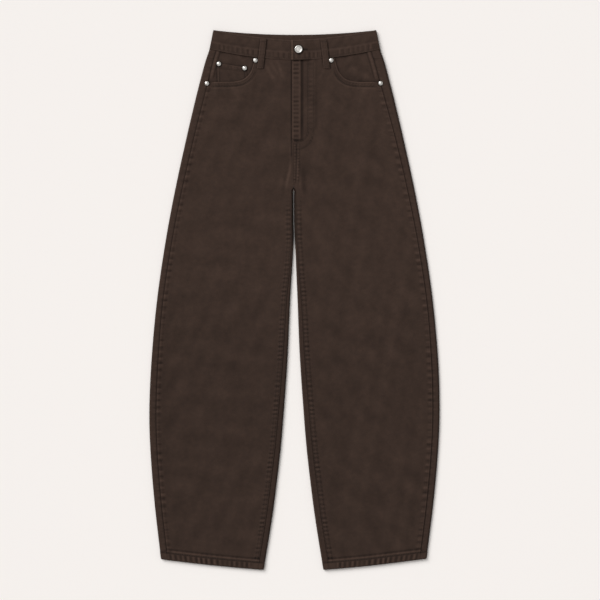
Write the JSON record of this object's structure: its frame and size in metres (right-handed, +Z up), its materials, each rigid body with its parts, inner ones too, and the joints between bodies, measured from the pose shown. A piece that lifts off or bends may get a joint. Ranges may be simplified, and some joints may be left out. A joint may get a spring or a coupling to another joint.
{
  "type": "barrel leg trousers",
  "caption": "High-waisted trousers with bowed barrel legs, buttoned waistband, fly and curved pockets, laid flat face up.",
  "frame": {"origin": "centre of the outline in X and Y, on the surface that the trousers lie on", "axes": "+Y up to the waistband, +X to the wearer's left leg, +Z up from the surface through the front"},
  "size_m": [0.5606, 1.042, 0.0141],
  "materials": {
    "twill": "washed cotton twill, dark brown, matt",
    "facing": "washed cotton twill, slightly darker brown, matt",
    "nickel": "satin nickel plate"
  },
  "bodies": {
    "root": {"front_panel_R": "twill", "front_panel_L": "twill", "back_panel_R": "twill", "back_panel_L": "twill", "yoke_R": "twill", "yoke_L": "twill", "back_pocket_R": "twill", "back_pocket_L": "twill", "pocket_facing_R": "facing", "pocket_facing_L": "facing", "coin_pocket": "facing", "waistband": "twill", "belt_loop_1": "twill", "belt_loop_2": "twill", "belt_loop_3": "twill", "belt_loop_4": "twill", "belt_loop_5": "twill", "button": "nickel", "rivet_1": "nickel", "rivet_2": "nickel", "rivet_3": "nickel", "rivet_4": "nickel", "rivet_5": "nickel", "rivet_6": "nickel"}
  },
  "joints": []
}
